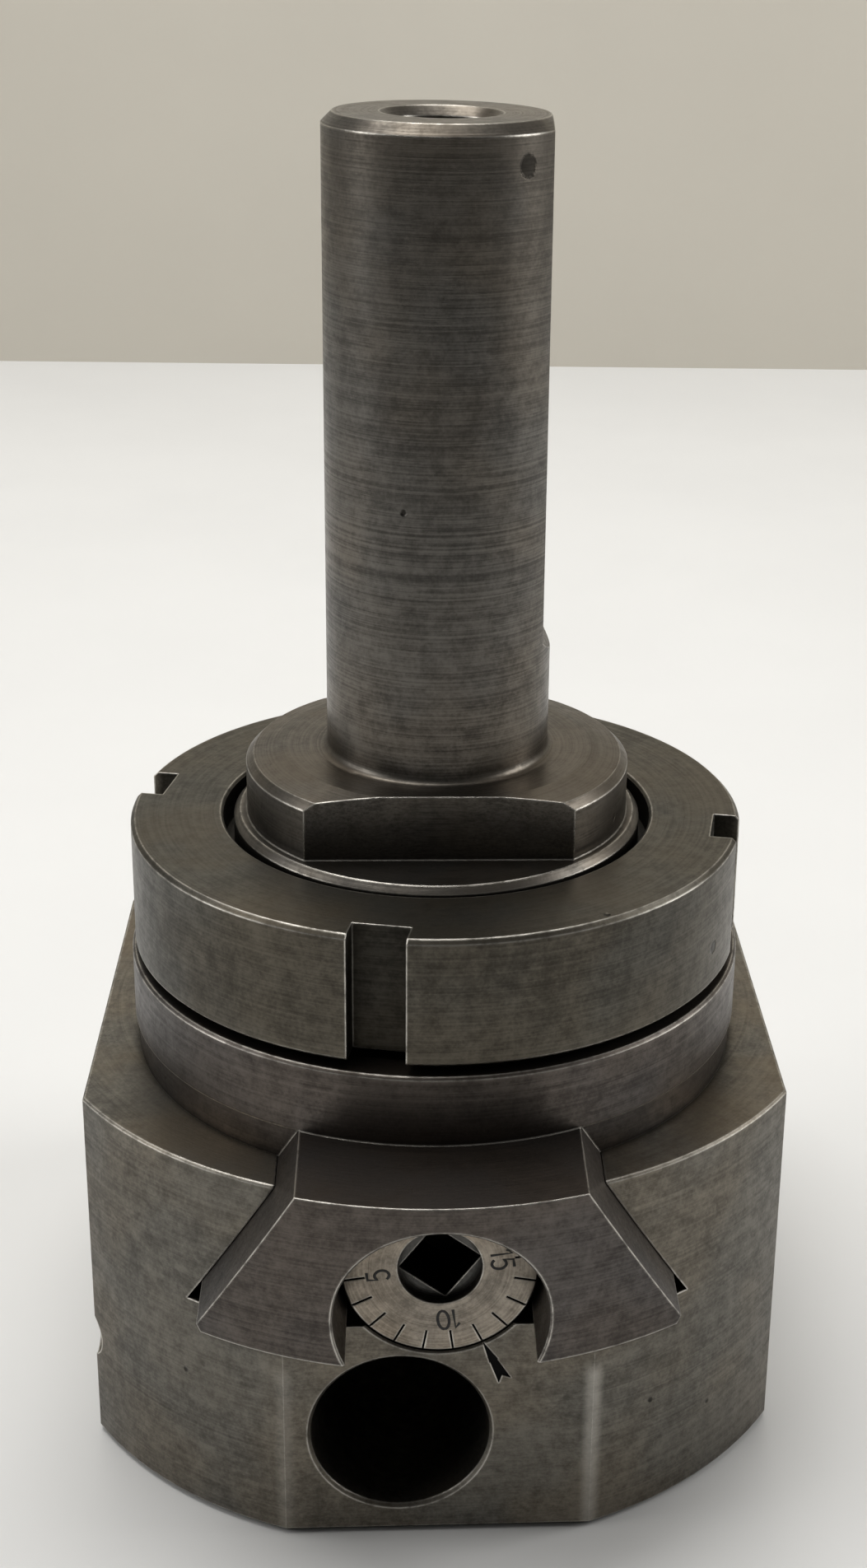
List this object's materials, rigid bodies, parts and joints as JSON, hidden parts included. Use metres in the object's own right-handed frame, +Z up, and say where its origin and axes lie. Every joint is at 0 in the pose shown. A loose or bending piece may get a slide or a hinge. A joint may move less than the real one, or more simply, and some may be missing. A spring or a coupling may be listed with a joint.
{
  "type": "boring head",
  "caption": "Boring head with a straight shank, a slotted ring nut and a dovetail tool block moved across the spindle axis by a graduated screw, with two clamped tool bores.",
  "frame": {"origin": "on the spindle axis, in the plane of the tool block's bottom face", "axes": "+Z up along the spindle axis, towards the shank's end; the tool block travels along Y, and the dial and the front tool bore face -Y"},
  "size_m": [0.101, 0.1255, 0.192],
  "materials": {
    "blackened_steel": "turned and ground steel, dark with age and oil",
    "ground_steel": "turned steel, worn grey",
    "satin_chrome": "satin plated dial with dark graduations",
    "hardened_steel": "hardened and ground",
    "screw_steel": "black oxide",
    "bronze": "machined bronze",
    "brass": "turned brass"
  },
  "bodies": {
    "head": {"head_body": "blackened_steel", "shank": "ground_steel", "drive_pins": "hardened_steel", "screw_nut": "bronze", "nut_screws": "screw_steel"},
    "ring": {"ring_nut": "blackened_steel"},
    "slide": {"slide_block": "blackened_steel", "screw_bracket": "blackened_steel", "bracket_screws": "screw_steel", "front_thrust_washer": "bronze", "rear_thrust_washer": "bronze", "flank_shoe_front": "brass", "flank_shoe_middle": "brass", "flank_shoe_rear": "brass"},
    "screw": {"lead_screw": "hardened_steel", "dial": "satin_chrome", "dial_grub_screw": "screw_steel", "tail_washer": "hardened_steel", "tail_screw": "screw_steel"},
    "flank_screw_front": {"flank_screw_front": "screw_steel"},
    "flank_screw_middle": {"flank_screw_middle": "screw_steel"},
    "flank_screw_rear": {"flank_screw_rear": "screw_steel"},
    "front_bore_screw_outer": {"front_bore_screw_outer": "screw_steel"},
    "front_bore_screw_inner": {"front_bore_screw_inner": "screw_steel"},
    "base_bore_screw_lower": {"base_bore_screw_lower": "screw_steel"},
    "base_bore_screw_upper": {"base_bore_screw_upper": "screw_steel"}
  },
  "joints": [
    {"name": "slide_travel", "type": "slide", "parent": "head", "child": "slide", "axis": [0, 1, 0], "range_m": [-0.00955, 0.01445]},
    {"name": "feed_screw_turn", "type": "hinge", "parent": "slide", "child": "screw", "pos_m": [0, -0.03045, 0.04435], "axis": [0, 1, 0], "range_deg": [-3438.5, 5202.5]},
    {"name": "ring_nut_turn", "type": "hinge", "parent": "head", "child": "ring", "pos_m": [0, 0, 0.08345], "axis": [0, 0, 1], "continuous": true},
    {"name": "flank_screw_front_turn", "type": "hinge", "parent": "slide", "child": "flank_screw_front", "pos_m": [-0.044, -0.01245, 0.046], "axis": [-1, 0, 0], "continuous": true},
    {"name": "flank_screw_middle_turn", "type": "hinge", "parent": "slide", "child": "flank_screw_middle", "pos_m": [-0.044, 0.00955, 0.046], "axis": [-1, 0, 0], "continuous": true},
    {"name": "flank_screw_rear_turn", "type": "hinge", "parent": "slide", "child": "flank_screw_rear", "pos_m": [-0.044, 0.03155, 0.046], "axis": [-1, 0, 0], "continuous": true},
    {"name": "front_bore_screw_outer_turn", "type": "hinge", "parent": "slide", "child": "front_bore_screw_outer", "pos_m": [-0.0332, -0.02045, 0.0171], "axis": [-1, 0, 0], "continuous": true},
    {"name": "front_bore_screw_inner_turn", "type": "hinge", "parent": "slide", "child": "front_bore_screw_inner", "pos_m": [-0.0332, -0.01145, 0.0171], "axis": [-1, 0, 0], "continuous": true},
    {"name": "base_bore_screw_lower_turn", "type": "hinge", "parent": "slide", "child": "base_bore_screw_lower", "pos_m": [0.0303, 0.00955, 0.0095], "axis": [1, 0, 0], "continuous": true},
    {"name": "base_bore_screw_upper_turn", "type": "hinge", "parent": "slide", "child": "base_bore_screw_upper", "pos_m": [0.0303, 0.00955, 0.0205], "axis": [1, 0, 0], "continuous": true}
  ],
  "couplings": [
    {"joint": "feed_screw_turn", "follows": "slide_travel", "rad_per_m": 6283.2}
  ]
}
